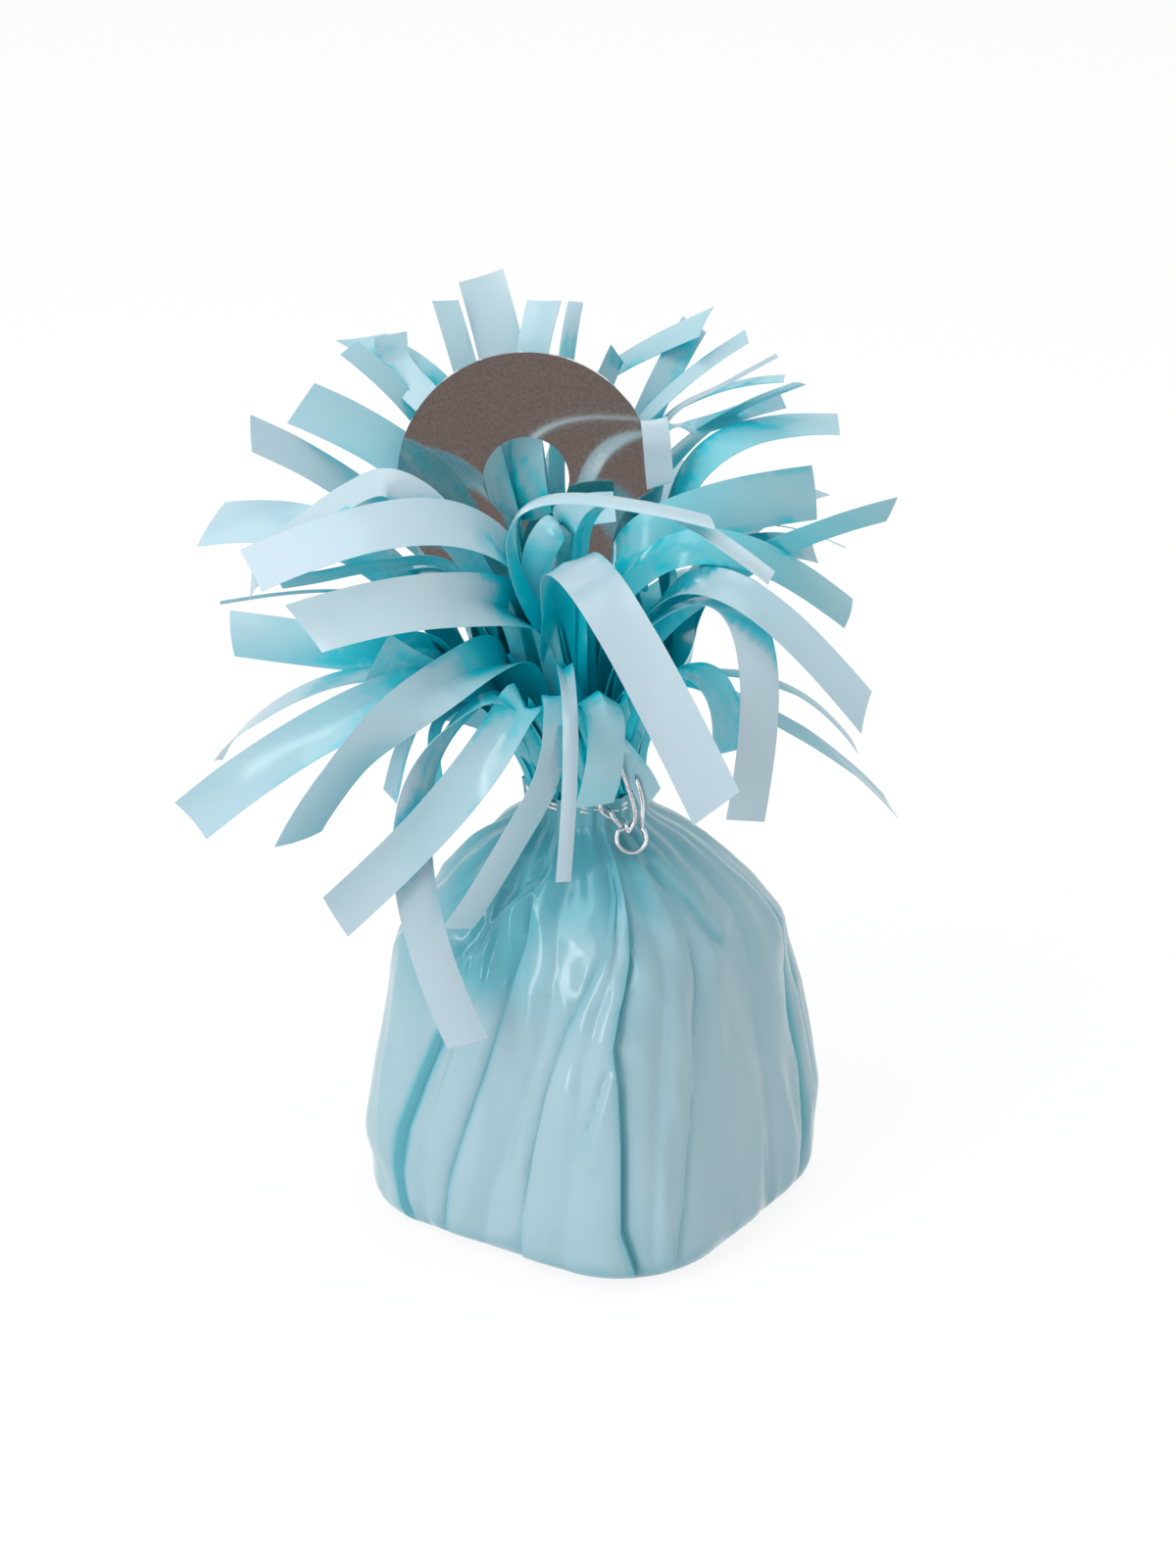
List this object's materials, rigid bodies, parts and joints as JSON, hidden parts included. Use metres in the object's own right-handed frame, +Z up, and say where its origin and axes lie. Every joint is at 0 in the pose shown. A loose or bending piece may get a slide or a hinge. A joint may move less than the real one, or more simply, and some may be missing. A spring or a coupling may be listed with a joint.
{
  "type": "balloon weight",
  "caption": "Gathered balloon weight: a heavy block wrapped in pale blue film, tied at the neck, with a cut film fringe above and a holed mirror disc for the ribbon.",
  "frame": {"origin": "on the floor under the middle of the weight block", "axes": "+Z up, +X to the viewer's right and -Y towards the viewer in the picture"},
  "size_m": [0.0974, 0.0873, 0.129],
  "materials": {
    "cast_stone": "rough cast",
    "film": "pearl gloss",
    "mirror_card": "mirror",
    "wire": "bright drawn",
    "clear_web": "clear plastic"
  },
  "bodies": {
    "root": {"weight_block": "cast_stone", "outer_film": "film", "middle_film": "film", "inner_film": "film", "fringe_strip_01": "film", "fringe_strip_02": "film", "fringe_strip_03": "film", "fringe_strip_04": "film", "fringe_strip_05": "film", "fringe_strip_06": "film", "fringe_strip_07": "film", "fringe_strip_08": "film", "fringe_strip_09": "film", "fringe_strip_10": "film", "fringe_strip_11": "film", "fringe_strip_12": "film", "fringe_strip_13": "film", "fringe_strip_14": "film", "fringe_strip_15": "film", "fringe_strip_16": "film", "fringe_strip_17": "film", "fringe_strip_18": "film", "fringe_strip_19": "film", "fringe_strip_20": "film", "fringe_strip_21": "film", "fringe_strip_22": "film", "fringe_strip_23": "film", "fringe_strip_24": "film", "fringe_strip_25": "film", "fringe_strip_26": "film", "fringe_strip_27": "film", "fringe_strip_28": "film", "fringe_strip_29": "film", "fringe_strip_30": "film", "fringe_strip_31": "film", "fringe_strip_32": "film", "fringe_strip_33": "film", "fringe_strip_34": "film", "fringe_strip_35": "film", "fringe_strip_36": "film", "fringe_strip_37": "film", "fringe_strip_38": "film", "fringe_strip_39": "film", "fringe_strip_40": "film", "fringe_strip_41": "film", "fringe_strip_42": "film", "fringe_strip_43": "film", "fringe_strip_44": "film", "fringe_strip_45": "film", "fringe_strip_46": "film", "fringe_strip_47": "film", "fringe_strip_48": "film", "ribbon_disc": "mirror_card", "tie_wire": "wire", "tie_web": "clear_web"}
  },
  "joints": []
}
